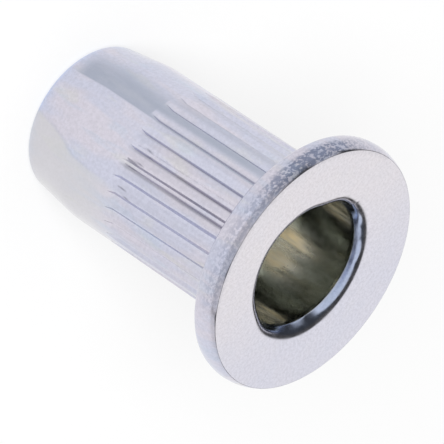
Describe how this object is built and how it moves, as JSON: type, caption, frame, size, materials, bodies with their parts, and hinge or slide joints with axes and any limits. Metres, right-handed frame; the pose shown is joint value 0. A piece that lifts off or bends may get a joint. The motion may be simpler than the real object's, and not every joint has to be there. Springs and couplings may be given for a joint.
{
  "type": "rivet nut",
  "caption": "Blind threaded insert with a flat flange and a grooved barrel, set in a sheet hole to give it a strong screw thread.",
  "frame": {"origin": "centre of the nose end, the flat ring that the nut stands on", "axes": "+Z along the nut's axis, from the nose to the flange; the grooves repeat round Z, with a land centred on +X"},
  "size_m": [0.009, 0.009, 0.011],
  "materials": {
    "zinc_plated_steel": "satin bright zinc plate with a faint iridescent passivation"
  },
  "bodies": {
    "root": {"rivet_nut": "zinc_plated_steel"}
  },
  "joints": []
}
